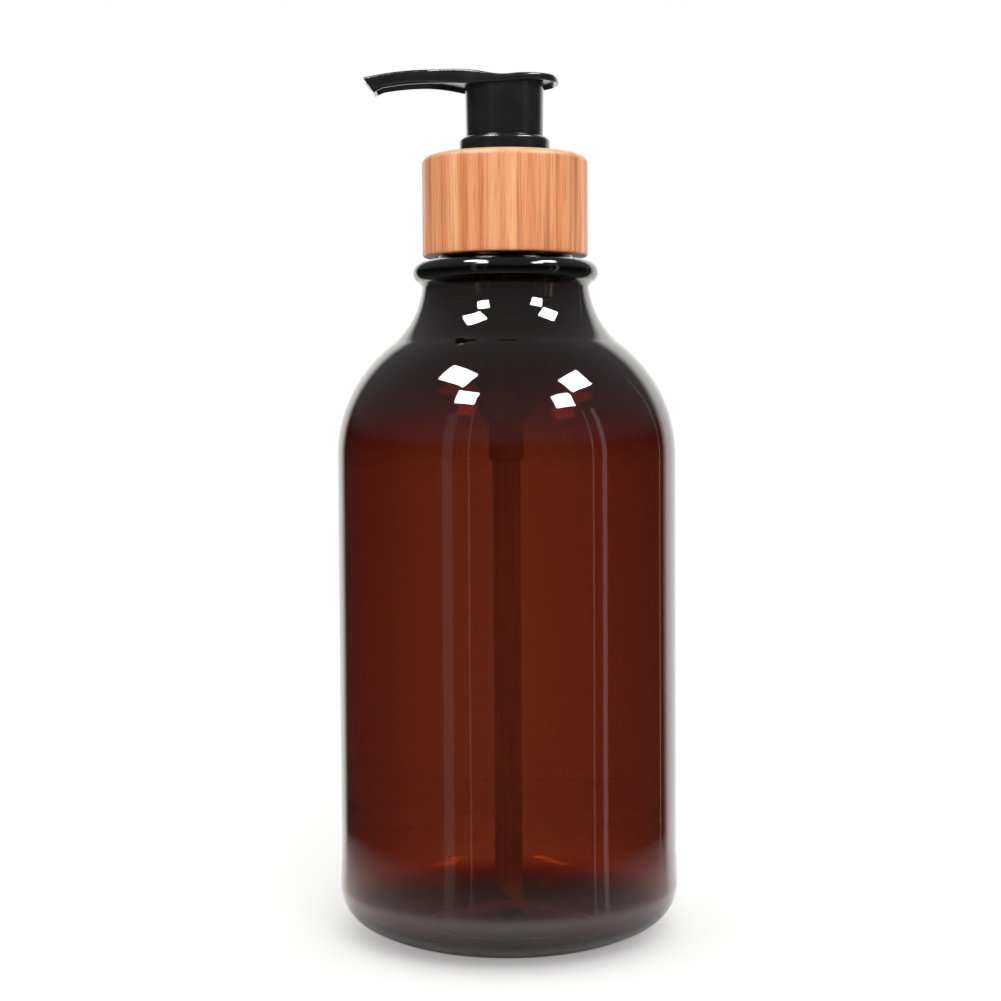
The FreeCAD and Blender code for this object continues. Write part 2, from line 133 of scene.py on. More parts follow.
def rounded(corner_points, radius, steps=5):
    """An outline with straight sides whose corners are rounded by up to radius."""
    points = []
    count = len(corner_points)
    for index in range(count):
        here = Vector(corner_points[index])
        before = Vector(corner_points[index - 1])
        after = Vector(corner_points[(index + 1) % count])
        to_before = (before - here).normalized()
        to_after = (after - here).normalized()
        half = to_before.angle(to_after) / 2
        reach = min(radius / math.tan(half), (before - here).length * 0.45, (after - here).length * 0.45)
        start = here + to_before * reach
        end = here + to_after * reach
        for step in range(steps + 1):
            t = step / steps
            points.append(tuple(start * (1 - t) ** 2 + here * 2 * t * (1 - t) + end * t ** 2))
    return points


def smooth_step(low, high, value):
    """0 below low, 1 above high, and an S-shaped climb between them."""
    share = min(max((value - low) / (high - low), 0.0), 1.0)
    return share * share * (3 - 2 * share)


def mesh_data(name, mesh):
    """Turn a bmesh into mesh data, with its faces pointing outwards."""
    bmesh.ops.recalc_face_normals(mesh, faces=mesh.faces)
    data = bpy.data.meshes.new(name)
    mesh.to_mesh(data)
    mesh.free()
    return data


def skin(mesh, rings):
    """Join closed rings of vertices one to the next and close both ends."""
    count = len(rings[0])
    for first, second in zip(rings, rings[1:]):
        for step in range(count):
            following = (step + 1) % count
            mesh.faces.new((first[step], first[following], second[following], second[step]))
    mesh.faces.new(rings[0][::-1])
    mesh.faces.new(rings[-1])


def new_piece(name, mesh, sharp_deg=38):
    """A smooth-shaded object whose edges steeper than sharp_deg stay crisp."""
    mesh.validate()
    for polygon in mesh.polygons:
        polygon.use_smooth = True
    mesh.set_sharp_from_angle(angle=math.radians(sharp_deg))
    piece = bpy.data.objects.new(name, mesh)
    bpy.context.scene.collection.objects.link(piece)
    return piece


def lathe(name, outline, closed=True, steps=LATHE_STEPS, radius_at=None, sharp_deg=38):
    """Turn an outline of (radius, z) points about Z. An open outline has both ends on the axis.
    radius_at(index, angle, radius, z) may change the radius round the turn."""
    mesh = bmesh.new()
    rings = []
    for index, (radius, z) in enumerate(outline):
        if radius < 1e-6:
            rings.append([mesh.verts.new((0, 0, z * MM))])
            continue
        ring = []
        for step in range(steps):
            angle = math.tau * step / steps
            turned = radius_at(index, angle, radius, z) if radius_at else radius
            x = turned * math.cos(angle)
            y = turned * math.sin(angle)
            ring.append(mesh.verts.new((x * MM, y * MM, z * MM)))
        rings.append(ring)
    pairs = list(zip(rings, rings[1:]))
    if closed:
        pairs.append((rings[-1], rings[0]))
    for lower, upper in pairs:
        for step in range(steps):
            following = (step + 1) % steps
            corners_here = [
                lower[step % len(lower)],
                lower[following % len(lower)],
                upper[following % len(upper)],
                upper[step % len(upper)],
            ]
            face = list(dict.fromkeys(corners_here))
            if len(face) > 2:
                mesh.faces.new(face)
    return new_piece(name, mesh_data(name, mesh), sharp_deg)


def finish_piece(piece, body, nodes, material):
    """Give a piece its material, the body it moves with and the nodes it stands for."""
    piece.data.materials.clear()
    piece.data.materials.append(material)
    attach(piece, body)
    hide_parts(*nodes)
    return piece


# --- material helpers -------------------------------------------------------------
def new_material(name):
    """A material with its Principled shader, its node tree and its object coordinates."""
    material = bpy.data.materials.new(name)
    material.use_nodes = True
    tree = material.node_tree
    shader = tree.nodes["Principled BSDF"]
    place = tree.nodes.new("ShaderNodeTexCoord").outputs["Object"]
    return material, tree, shader, place


def stretched(tree, place, scale):
    """Coordinates scaled on each axis; a small scale draws a texture out along that axis."""
    mapping = tree.nodes.new("ShaderNodeMapping")
    mapping.inputs["Scale"].default_value = scale
    tree.links.new(place, mapping.inputs["Vector"])
    return mapping.outputs["Vector"]


def noise(tree, place, scale, detail=4.0, roughness=0.55, distortion=0.0):
    """Output of a noise texture. Scale is in features per metre."""
    node = tree.nodes.new("ShaderNodeTexNoise")
    node.inputs["Scale"].default_value = scale
    node.inputs["Detail"].default_value = detail
    node.inputs["Roughness"].default_value = roughness
    node.inputs["Distortion"].default_value = distortion
    tree.links.new(place, node.inputs["Vector"])
    return node.outputs["Fac"]


def spread(tree, value, low, high, from_low=0.3, from_high=0.7):
    """Map a texture's middle range on to low..high."""
    node = tree.nodes.new("ShaderNodeMapRange")
    node.inputs["From Min"].default_value = from_low
    node.inputs["From Max"].default_value = from_high
    node.inputs["To Min"].default_value = low
    node.inputs["To Max"].default_value = high
    tree.links.new(value, node.inputs["Value"])
    return node.outputs["Result"]


def ramp(tree, value, stops):
    """Colour ramp through (position, (red, green, blue)) stops."""
    node = tree.nodes.new("ShaderNodeValToRGB")
    elements = node.color_ramp.elements
    while len(elements) < len(stops):
        elements.new(0.5)
    for element, (position, colour) in zip(elements, stops):
        element.position = position
        element.color = (*colour, 1.0)
    tree.links.new(value, node.inputs["Fac"])
    return node.outputs["Color"]


def blend_colour(tree, mode, amount, first, second):
    """Mix two colours. The amount may be a number or a socket."""
    node = tree.nodes.new("ShaderNodeMix")
    node.data_type = "RGBA"
    node.blend_type = mode
    if isinstance(amount, float):
        node.inputs["Factor"].default_value = amount
    else:
        tree.links.new(amount, node.inputs["Factor"])
    tree.links.new(first, node.inputs["A"])
    if isinstance(second, tuple):
        node.inputs["B"].default_value = (*second, 1.0)
    else:
        tree.links.new(second, node.inputs["B"])
    return node.outputs["Result"]


def calculate(tree, operation, first, second):
    """Math node on two numbers or sockets."""
    node = tree.nodes.new("ShaderNodeMath")
    node.operation = operation
    for socket, value in zip(node.inputs, (first, second)):
        if isinstance(value, (int, float)):
            socket.default_value = value
        else:
            tree.links.new(value, socket)
    return node.outputs["Value"]


def add_bump(tree, shader, height, distance, strength=1.0):
    """Relief of the given depth in metres."""
    node = tree.nodes.new("ShaderNodeBump")
    node.inputs["Strength"].default_value = strength
    node.inputs["Distance"].default_value = distance
    tree.links.new(height, node.inputs["Height"])
    tree.links.new(node.outputs["Normal"], shader.inputs["Normal"])


# --- materials ----------------------------------------------------------------------
def amber_pet():
    """Clear dark amber plastic: the colour comes from the depth of wall that light crosses."""
    material, tree, shader, place = new_material("amber_pet")
    shader.inputs["Base Color"].default_value = (1.0, 1.0, 1.0, 1.0)
    shader.inputs["Transmission Weight"].default_value = 1.0
    shader.inputs["IOR"].default_value = 1.57
    tree.links.new(
        spread(tree, noise(tree, place, 55.0), 0.012, 0.035), shader.inputs["Roughness"]
    )
    add_bump(tree, shader, noise(tree, place, 28.0, detail=1.0), 0.00006)
    absorption = tree.nodes.new("ShaderNodeVolumeAbsorption")
    absorption.inputs["Color"].default_value = (0.605, 0.230, 0.010, 1.0)
    absorption.inputs["Density"].default_value = 3000.0
    output = tree.nodes["Material Output"]
    tree.links.new(absorption.outputs["Volume"], output.inputs["Volume"])
    return material


def bamboo():
    """Laminated bamboo strips, turned and oiled: fibres run along Z. The top rim carries a painted
    highlight.
    """
    material, tree, shader, place = new_material("bamboo")
    along = stretched(tree, place, (1.0, 1.0, 0.012))
    strips = noise(tree, stretched(tree, place, (1.0, 1.0, 0.006)), 230.0, detail=1.0)
    streaks = noise(tree, along, 720.0, detail=2.0, roughness=0.55)
    fibres = noise(tree, stretched(tree, place, (1.0, 1.0, 0.03)), 2600.0, detail=2.0, roughness=0.7)
    base = ramp(tree, strips, [
        (0.35, (0.70, 0.225, 0.070)),
        (0.47, (0.80, 0.310, 0.125)),
        (0.58, (0.84, 0.370, 0.165)),
        (0.68, (0.93, 0.500, 0.250)),
    ])
    streak_tint = ramp(tree, streaks, [
        (0.33, (0.62, 0.42, 0.30)),
        (0.45, (0.90, 0.84, 0.77)),
        (0.58, (1.0, 1.0, 1.0)),
    ])
    fibre_tint = ramp(tree, fibres, [
        (0.38, (0.72, 0.56, 0.44)),
        (0.50, (1.0, 1.0, 1.0)),
    ])
    colour = blend_colour(tree, "MULTIPLY", 0.80, base, streak_tint)
    colour = blend_colour(tree, "MULTIPLY", 0.60, colour, fibre_tint)
    # Painted highlight: over the top 1.4 mm the colour is mixed towards pale yellow, standing in for light
    # falling on the rounded top.
    split = tree.nodes.new("ShaderNodeSeparateXYZ")
    tree.links.new(place, split.inputs["Vector"])
    top = spread(tree, split.outputs["Z"], 0.0, 0.85, (SLEEVE_TOP - 1.4) * MM, (SLEEVE_TOP - 0.1) * MM)
    colour = blend_colour(tree, "MIX", top, colour, (0.97, 0.66, 0.33))
    tree.links.new(colour, shader.inputs["Base Color"])
    grain = calculate(tree, "ADD", streaks, calculate(tree, "MULTIPLY", fibres, 0.6))
    tree.links.new(spread(tree, grain, 0.52, 0.36, 0.5, 1.1), shader.inputs["Roughness"])
    add_bump(tree, shader, grain, 0.00012)
    return material


def moulded_plastic(name, colour, gloss_low, gloss_high, grain_depth=0.000015):
    """Moulded plastic: faint flow marks in the gloss, fine tool grain and small scuffs."""
    material, tree, shader, place = new_material(name)
    cloud = noise(tree, place, 160.0, detail=3.0)
    fine = noise(tree, place, 5200.0, detail=2.0)
    scuffs = noise(tree, stretched(tree, place, (1.0, 0.25, 0.6)), 1300.0, detail=4.0, roughness=0.8)
    darker = tuple(channel * 0.86 for channel in colour)
    lighter = tuple(min(1.0, channel * 1.14) for channel in colour)
    tree.links.new(ramp(tree, cloud, [(0.35, darker), (0.65, lighter)]), shader.inputs["Base Color"])
    gloss = spread(tree, cloud, gloss_low, gloss_high)
    worn = spread(tree, scuffs, 0.0, 0.12, 0.62, 0.72)
    tree.links.new(calculate(tree, "ADD", gloss, worn), shader.inputs["Roughness"])
    add_bump(tree, shader, fine, grain_depth)
    return material


def milky_tube():
    """Extruded polyethylene: waxy, with faint draw lines along its length."""
    material, tree, shader, place = new_material("natural_pe")
    lines = noise(tree, stretched(tree, place, (1.0, 1.0, 0.02)), 1500.0, detail=2.0)
    tree.links.new(
        ramp(tree, lines, [(0.3, (0.62, 0.62, 0.58)), (0.7, (0.80, 0.80, 0.76))]),
        shader.inputs["Base Color"],
    )
    tree.links.new(spread(tree, lines, 0.32, 0.48), shader.inputs["Roughness"])
    add_bump(tree, shader, lines, 0.00003)
    return material


def foam():
    """Closed-cell polyethylene foam."""
    material, tree, shader, place = new_material("foam_pe")
    cells = noise(tree, place, 2600.0, detail=3.0)
    tree.links.new(
        ramp(tree, cells, [(0.3, (0.70, 0.70, 0.67)), (0.7, (0.88, 0.88, 0.86))]),
        shader.inputs["Base Color"],
    )
    tree.links.new(spread(tree, cells, 0.75, 0.95), shader.inputs["Roughness"])
    add_bump(tree, shader, cells, 0.0002)
    return material


def clear_glass():
    """Slightly green glass of the inlet ball."""
    material, tree, shader, place = new_material("clear_glass")
    shader.inputs["Base Color"].default_value = (0.88, 0.95, 0.93, 1.0)
    shader.inputs["Transmission Weight"].default_value = 1.0
    shader.inputs["IOR"].default_value = 1.5
    tree.links.new(spread(tree, noise(tree, place, 900.0), 0.01, 0.05), shader.inputs["Roughness"])
    return material


def spring_wire():
    """Drawn stainless wire with fine die lines."""
    material, tree, shader, place = new_material("spring_steel")
    marks = noise(tree, stretched(tree, place, (0.3, 0.3, 2.0)), 4200.0, detail=3.0)
    shader.inputs["Metallic"].default_value = 1.0
    tree.links.new(
        ramp(tree, marks, [(0.3, (0.46, 0.45, 0.43)), (0.7, (0.64, 0.63, 0.61))]),
        shader.inputs["Base Color"],
    )
    tree.links.new(spread(tree, marks, 0.18, 0.36), shader.inputs["Roughness"])
    add_bump(tree, shader, marks, 0.00001)
    return material


AMBER = amber_pet()
BAMBOO = bamboo()
BLACK = moulded_plastic("black_pp", (0.0105, 0.0108, 0.0112), 0.13, 0.22)
NATURAL = moulded_plastic("natural_pp", (0.74, 0.74, 0.71), 0.30, 0.42)
MILKY = milky_tube()
FOAM = foam()
GLASS = clear_glass()
STEEL = spring_wire()


# --- bottle ---------------------------------------------------------------------------
def bottle_outer():
    """Outer outline from the axis, over the foot, heel, body and shoulder, to the bead's top."""
    dome_r = (FOOT_IN_R ** 2 + PUSH_UP ** 2) / (2 * PUSH_UP)
    dome_deg = math.degrees(math.asin(FOOT_IN_R / dome_r))
    heel_x = HEEL_R - HEEL_ROUND
    reach = heel_x - FOOT_R
    under_r = (reach ** 2 + HEEL_Z ** 2 - HEEL_ROUND ** 2) / (2 * (HEEL_Z - HEEL_ROUND))
    under_deg = math.degrees(math.atan2(HEEL_Z - under_r, reach))
    swell = HEEL_R - BODY_R
    rise = math.sqrt(2 * (HEEL_ROUND + FLARE_R) * swell - swell ** 2)
    flare_deg = math.degrees(math.asin(rise / (HEEL_ROUND + FLARE_R)))
    shoulder_x = BODY_R - SHOULDER_R
    waist_x = WAIST_NECK_R + WAIST_R
    lean = math.degrees(math.atan2(WAIST_Z - SHOULDER_Z, waist_x - shoulder_x))
    waist_end = 180 + math.degrees(math.asin((WAIST_Z - NECK_Z) / WAIST_R))
    outline = arc(0, PUSH_UP - dome_r, dome_r, 90, 90 - dome_deg, 24)
    outline += arc(FOOT_R, under_r, under_r, -90, under_deg, 24)
    outline += arc(heel_x, HEEL_Z, HEEL_ROUND, under_deg, flare_deg, 30)[1:]
    outline += arc(BODY_R + FLARE_R, HEEL_Z + rise, FLARE_R, 180 + flare_deg, 180, 12)[1:]
    outline += run((BODY_R, HEEL_Z + rise + 2), (BODY_R, SHOULDER_Z - 1.0), 24)
    outline += arc(shoulder_x, SHOULDER_Z, SHOULDER_R, 0, lean, 40)
    outline += arc(waist_x, WAIST_Z, WAIST_R, 180 + lean, waist_end, 26)[1:]
    outline += arc(BEAD_CENTRE_R, BEAD_Z, BEAD_R, -66, 80, 22)
    return outline


def wall_at(z):
    """The blown wall is even down the body and thickens up the shoulder, and towards the foot."""
    shoulder = (NECK_WALL - BODY_WALL) * smooth_step(104.0, 140.0, z)
    foot = 0.5 * (1 - smooth_step(0.5, 9.0, z))
    return BODY_WALL + shoulder + foot


def set_in(outline):
    """The outline moved inwards by the wall's thickness."""
    points = []
    for index, (radius, z) in enumerate(outline):
        before = outline[max(index - 1, 0)]
        after = outline[min(index + 1, len(outline) - 1)]
        along = Vector((after[0] - before[0], after[1] - before[1])).normalized()
        if radius < 1e-6:
            along = Vector((1, 0))
        thickness = wall_at(z)
        points.append((max(radius - along.y * thickness, 0.0), z + along.x * thickness))
    return points


def bottle_inner():
    """Inner outline from the mouth's lower end down to the axis."""
    waist_top = NECK_Z - 2.0
    skin = [point for point in bottle_outer() if point[1] < waist_top]
    inner = set_in(skin)
    top_r = inner[-1][0]
    inner += arc(top_r - 3.2, waist_top + 2.5, 3.2, 0, 60, 8)
    inner += run((MOUTH_R + 0.5, 148.6), (MOUTH_R, 149.4), 2)
    return inner[::-1]


def bottle():
    """Blown bottle with its screw finish and a slightly uneven inner face."""
    finish = [
        (FINISH_R + 0.75, 149.15),
        (FINISH_COLLAR_R, 149.5),
        (FINISH_COLLAR_R, 150.8),
        (FINISH_R, 151.2),
    ]
    finish += run((FINISH_R, 152.0), (FINISH_R, FINISH_TOP - 0.8), FINISH_STEPS)
    finish += arc(FINISH_R - 0.45, FINISH_TOP - 0.45, 0.45, 0, 90, 5)
    mouth = arc(MOUTH_R + 0.3, FINISH_TOP - 0.3, 0.3, 90, 180, 4)
    mouth += run((MOUTH_R, FINISH_TOP - 1.0), (MOUTH_R, 150.2), 12)
    outer = bottle_outer() + finish + mouth
    inner = bottle_inner()
    first_inner = len(outer)

    def thread_height(angle, z):
        """Ridge height where the helical thread passes this point."""
        highest = 0.0
        for turn in range(3):
            turned = angle / math.tau + turn
            if turned > THREAD_TURNS:
                continue
            middle = BOTTLE_THREAD_Z + turned * THREAD_PITCH
            ends = smooth_step(0.0, 0.08, turned) * smooth_step(0.0, 0.08, THREAD_TURNS - turned)
            side = 1 - smooth_step(0.35, 0.85, abs(z - middle))
            highest = max(highest, THREAD_DEPTH * side * ends)
        return highest

    def radius_at(index, angle, radius, z):
        if index >= first_inner:
            uneven = 0.5 * math.sin(angle + 0.6) + 0.3 * math.sin(3 * angle + 2.0)
            uneven += 0.2 * math.sin(7 * angle) + 0.14 * math.sin(17 * angle + 1.0)
            return radius + INNER_UNEVEN * uneven * smooth_step(2.0, 20.0, radius)
        on_finish = abs(radius - FINISH_R) < 1e-4
        return radius + (thread_height(angle, z) if on_finish else 0.0)

    piece = lathe("amber_bottle", outer + inner, closed=False, radius_at=radius_at)
    return finish_piece(piece, "bottle", ["bottle"], AMBER)


# --- sleeve and lock ring, in millimetres ------------------------------------------------
SLEEVE_EDGE = 0.5
SLEEVE_TOP_ROUND = 1.7
SLEEVE_RIM_ROUND = 0.4
SLEEVE_MOUTH_R = 10.25      # opening round the lock ring
FLANGE_POCKET_R = 11.4
FLANGE_POCKET_TOP = 170.65
CAP_BORE_R = 14.74          # the closure sits in this bore
CAP_BORE_TOP = 169.92
CAP_BORE_EDGE = 0.25
RING_R = 9.95
RING_PLUG_R = 9.65
RING_BORE_R = 8.86
RING_FLANGE_R = 10.95
RING_BOTTOM = 160.0
RING_FLOOR_TOP = 161.2
STEM_HOLE_R = 3.65
RING_BEVEL = 0.9
RING_SHOULDER_ROUND = 0.75
RING_LIP_ROUND = 0.32


def sleeve():
    """Bamboo ring over the closure. It is kept out of reflections, where the bottle would show it."""
    outline = arc(SLEEVE_R - SLEEVE_EDGE, SLEEVE_BOTTOM + SLEEVE_EDGE, SLEEVE_EDGE, -90, 0, 6)
    outline += run((SLEEVE_R, SLEEVE_BOTTOM + 2), (SLEEVE_R, SLEEVE_TOP - SLEEVE_TOP_ROUND - 1), 8)
    outline += arc(
        SLEEVE_R - SLEEVE_TOP_ROUND, SLEEVE_TOP - SLEEVE_TOP_ROUND, SLEEVE_TOP_ROUND, 0, 90, 14
    )
    outline += arc(
        SLEEVE_MOUTH_R + SLEEVE_RIM_ROUND, SLEEVE_TOP - SLEEVE_RIM_ROUND, SLEEVE_RIM_ROUND, 90, 180, 5
    )
    outline += [
        (SLEEVE_MOUTH_R, FLANGE_POCKET_TOP + 0.05),
        (FLANGE_POCKET_R, FLANGE_POCKET_TOP),
        (FLANGE_POCKET_R, CAP_BORE_TOP),
        (CAP_BORE_R, CAP_BORE_TOP),
    ]
    outline += arc(
        CAP_BORE_R + CAP_BORE_EDGE, SLEEVE_BOTTOM + CAP_BORE_EDGE, CAP_BORE_EDGE, 180, 270, 4
    )
    piece = lathe("turned_sleeve", outline)
    piece.visible_glossy = False
    return finish_piece(piece, "cap", ["bamboo_sleeve"], BAMBOO)


def lock_ring():
    """Black ring: a plug in the closure, a thin flange under the sleeve and the collar that shows."""
    outline = [
        (STEM_HOLE_R, RING_BOTTOM),
        (RING_PLUG_R - 0.25, RING_BOTTOM),
        (RING_PLUG_R, RING_BOTTOM + 0.25),
        (RING_PLUG_R, 169.9),
        (RING_FLANGE_R, 169.98),
        (RING_FLANGE_R, 170.5),
        (RING_R, 170.55),
        (RING_R, 171.2),
    ]
    outline += run((RING_R, 171.6), (RING_R, RING_TOP - RING_BEVEL), 4)
    outline += arc(
        RING_R - RING_SHOULDER_ROUND, RING_TOP - RING_BEVEL, RING_SHOULDER_ROUND, 0, 60, 6
    )[1:]
    outline += arc(9.22, RING_TOP - RING_LIP_ROUND, RING_LIP_ROUND, 60, 180, 7)
    outline += run((RING_BORE_R, RING_TOP - 1.0), (RING_BORE_R, RING_FLOOR_TOP + 0.4), 10)
    outline += arc(RING_BORE_R - 0.36, RING_FLOOR_TOP + 0.35, 0.36, 0, -90, 4)
    outline += [(STEM_HOLE_R + 0.25, RING_FLOOR_TOP), (STEM_HOLE_R, RING_FLOOR_TOP - 0.25)]
    piece = lathe("lock_collar", outline)
    return finish_piece(piece, "pump_body", ["lock_ring"], BLACK)


# --- actuator head -------------------------------------------------------------------------
SKIRT_BOTTOM_R = 8.45
SKIRT_TOP_R = 8.65
HEAD_SEAT = 186.7
HUMP_X = -16.5
PALM_X = -1.5
PALM_Z = 188.5
BACK_Z = 189.0
TIP_TOP = 188.7
TIP_FOOT = 186.0
TIP_SLANT = 2.0
TIP_HALF_W = 4.0
SPOUT_HALF_W = 4.7
PALM_R = 9.66
HEAD_EDGE = 0.55
SPOUT_FOOT_EDGE = 1.2       # rounder lower corners under the spout
HOLLOW = 0.8                # depth of the hollow in the underside
SPOUT_ARCH_X = -18.8
SPOUT_ARCH = 1.3
UNDER_RISE = 0.7            # the underside climbs this much towards the back
BACK_ROUND = 0.55
SKIRT_WALL = 1.1
SKIRT_LAP = 1.2             # how far the skirt runs up into the head
ROOF_T = 0.8                # roof of the skirt below the head's underside
ROOF_ROUND = 0.3
BOSS_IN_R = 3.5
BOSS_OUT_R = 4.7
BOSS_LOW = 176.0
BOSS_HIGH = 186.4
NOZZLE_R = 1.0
SPOUT_LENGTH = 22.0         # the first stations of the loft are evenly spaced over this length
SPOUT_STEPS = 60
BACK_STEPS = 48
SLANT_STEPS = 12            # the tip's slant fades out over this many stations


def through_three(a, b, c):
    """Height function of the circle through three (x, z) points."""
    ax, az = a
    bx, bz = b
    cx, cz = c
    twice = 2 * (ax * (bz - cz) + bx * (cz - az) + cx * (az - bz))
    a2 = ax * ax + az * az
    b2 = bx * bx + bz * bz
    c2 = cx * cx + cz * cz
    centre_x = (a2 * (bz - cz) + b2 * (cz - az) + c2 * (az - bz)) / twice
    centre_z = (a2 * (cx - bx) + b2 * (ax - cx) + c2 * (bx - ax)) / twice
    radius = math.hypot(ax - centre_x, az - centre_z)
    side = 1 if bz > centre_z else -1
    return lambda x: centre_z + side * math.sqrt(max(radius ** 2 - (x - centre_x) ** 2, 0))


HUMP = through_three((HEAD_TIP_X, TIP_TOP), (HUMP_X, HEAD_TOP - 0.06), (PALM_X, PALM_Z))
SPOUT_UNDER = through_three(
    (HEAD_TIP_X + TIP_SLANT, TIP_FOOT), (SPOUT_ARCH_X, TIP_FOOT + SPOUT_ARCH), (-SKIRT_TOP_R, HEAD_SEAT)
)


def head_top(x):
    """Height of the upper face: the spout's hump runs over into the straight thumb rest."""
    palm = PALM_Z + (BACK_Z - PALM_Z) * (x - PALM_X) / (HEAD_BACK_X - PALM_X)
    share = smooth_step(PALM_X - 5, PALM_X + 5, x)
    return HUMP(min(x, PALM_X + 6)) * (1 - share) + palm * share


def head_under(x):
    """Height of the lower face: arched under the spout, rising a little to the back."""
    if x < -SKIRT_TOP_R:
        return SPOUT_UNDER(x)
    return HEAD_SEAT + UNDER_RISE * smooth_step(-2.0, SKIRT_TOP_R - 1, x)


def head_half_width(x):
    """Half width: a narrow spout widens into the round thumb rest."""
    palm_x = HEAD_BACK_X - PALM_R
    spout = TIP_HALF_W + (SPOUT_HALF_W - TIP_HALF_W) * (x - HEAD_TIP_X) / 16
    palm = math.sqrt(max(PALM_R ** 2 - (x - palm_x) ** 2, 0))
    if x > palm_x - 1.5:
        return palm
    share = smooth_step(-17.0, palm_x - 1.5, x)
    return spout * (1 - share) + PALM_R * share ** 0.85 * 0.988


def head_section(x, half_w, low, high):
    """Rounded-rectangle section across the head at x, as a loop of (x, y, z)."""
    edge = min(HEAD_EDGE, half_w * 0.8, (high - low) * 0.42)
    foot = HEAD_EDGE + (SPOUT_FOOT_EDGE - HEAD_EDGE) * (1 - smooth_step(-14.0, -6.0, x))
    foot = min(foot, half_w * 0.8, (high - low) * 0.42)
    hollow = HOLLOW * smooth_step(HEAD_TIP_X + 1.2, HEAD_TIP_X + 2.4, x)
    hollow *= 1 - smooth_step(HEAD_BACK_X - 1.6, HEAD_BACK_X - 0.9, x)
    loop = []
    for centre_y, centre_z, radius, start in (
        (half_w - edge, high - edge, edge, 0),
        (-half_w + edge, high - edge, edge, 90),
        (-half_w + foot, low + foot, foot, 180),
        (half_w - foot, low + foot, foot, 270),
    ):
        for y, z in arc(centre_y, centre_z, radius, start, start + 90, 6):
            loop.append((x, y, z))
        if start in (0, 180):
            for share in (0.98, 0.86, 0.5, 0.0, -0.5, -0.86, -0.98):
                if start == 0:
                    loop.append((x, share * (half_w - edge), high))
                else:
                    lift = hollow if abs(share) < 0.9 else 0.0
                    loop.append((x, -share * (half_w - foot), low + lift))
    return loop


def head_body():
    """Loft of the spout and thumb rest, from the slanted tip to the round back."""
    loops = []
    stations = []
    for step in range(SPOUT_STEPS + 1):
        stations.append(HEAD_TIP_X + SPOUT_LENGTH * step / SPOUT_STEPS)
    spout_end = stations[-1]
    span = HEAD_BACK_X - spout_end
    for step in range(1, BACK_STEPS + 1):
        stations.append(spout_end + span * math.sin(math.pi / 2 * step / BACK_STEPS))
    for x in stations:
        half_w = max(head_half_width(min(x, HEAD_BACK_X - 0.004)), 0.12)
        low = head_under(x)
        high = head_top(x)
        tail = smooth_step(HEAD_BACK_X - 2.2, HEAD_BACK_X, x)
        high -= BACK_ROUND * tail ** 2
        low += 0.15 * tail ** 2
        loops.append(head_section(x, half_w, low, high))
    mesh = bmesh.new()
    rings = []
    for index, loop in enumerate(loops):
        ring = []
        for x, y, z in loop:
            if index < SLANT_STEPS:
                depth = (head_top(x) - z) / (TIP_TOP - TIP_FOOT)
                x += TIP_SLANT * depth * (1 - index / SLANT_STEPS)
            ring.append(mesh.verts.new((x * MM, y * MM, z * MM)))
        rings.append(ring)
    skin(mesh, rings)
    return new_piece("pump_head", mesh_data("pump_head", mesh), sharp_deg=50)


def apply_boolean(piece, other, operation):
    """Join or cut piece with other, then remove other."""
    modifier = piece.modifiers.new("join", "BOOLEAN")
    modifier.operation = operation
    modifier.solver = "EXACT"
    modifier.object = other
    graph = bpy.context.evaluated_depsgraph_get()
    result = bpy.data.meshes.new_from_object(piece.evaluated_get(graph))
    piece.modifiers.clear()
    old = piece.data
    piece.data = result
    bpy.data.meshes.remove(old)
    bpy.data.objects.remove(other)


def rod(name, start, end, radius, steps=32):
    """A plain cutter or boss between two points, in millimetres."""
    start = Vector(start)
    end = Vector(end)
    along = end - start
    mesh = bmesh.new()
    bmesh.ops.create_cone(
        mesh, cap_ends=True, segments=steps,
        radius1=radius * MM, radius2=radius * MM, depth=along.length * MM,
    )
    turn = Vector((0, 0, 1)).rotation_difference(along).to_matrix().to_4x4()
    mesh.transform(Matrix.Translation((start + end) / 2 * MM) @ turn)
    data = bpy.data.meshes.new(name)
    mesh.to_mesh(data)
    mesh.free()
    return new_piece(name, data)


def actuator():
    """Head with its skirt, the boss that takes the stem and the spout's outlet."""
    head = head_body()
    skirt_in_r = SKIRT_BOTTOM_R - SKIRT_WALL
    roof = HEAD_SEAT - ROOF_T
    skirt = [(0, HEAD_SEAT + SKIRT_LAP), (0, roof), (skirt_in_r - ROOF_ROUND, roof)]
    skirt += arc(skirt_in_r - ROOF_ROUND, roof - ROOF_ROUND, ROOF_ROUND, 90, 0, 4)
    skirt += run((skirt_in_r, 184.0), (skirt_in_r, SKIRT_BOTTOM + 0.4), 6)
    skirt += arc(skirt_in_r + 0.25, SKIRT_BOTTOM + 0.25, 0.25, 180, 270, 4)
    skirt += arc(SKIRT_BOTTOM_R - 0.35, SKIRT_BOTTOM + 0.35, 0.35, -90, 0, 5)
    skirt += run((SKIRT_BOTTOM_R, SKIRT_BOTTOM + 0.8), (SKIRT_TOP_R, HEAD_SEAT), 10)
    skirt += [(SKIRT_TOP_R, HEAD_SEAT + SKIRT_LAP)]
    shell = lathe("skirt_shell", skirt[::-1], closed=False, steps=160)
    apply_boolean(head, shell, "UNION")
    boss_outline = rounded(
        [(BOSS_IN_R, BOSS_LOW), (BOSS_OUT_R, BOSS_LOW), (BOSS_OUT_R, BOSS_HIGH), (BOSS_IN_R, BOSS_HIGH)], 0.2
    )
    apply_boolean(head, lathe("boss", boss_outline, steps=96), "UNION")
    middle = (TIP_TOP + TIP_FOOT) / 2 - 0.1
    nozzle = rod(
        "nozzle_bore", (HEAD_TIP_X - 3, 0, middle - 0.12), (HEAD_TIP_X + 5, 0, middle + 0.3), NOZZLE_R
    )
    apply_boolean(head, nozzle, "DIFFERENCE")
    for polygon in head.data.polygons:
        polygon.use_smooth = True
    head.data.set_sharp_from_angle(angle=math.radians(34))
    return finish_piece(head, "plunger", ["actuator_head"], BLACK)


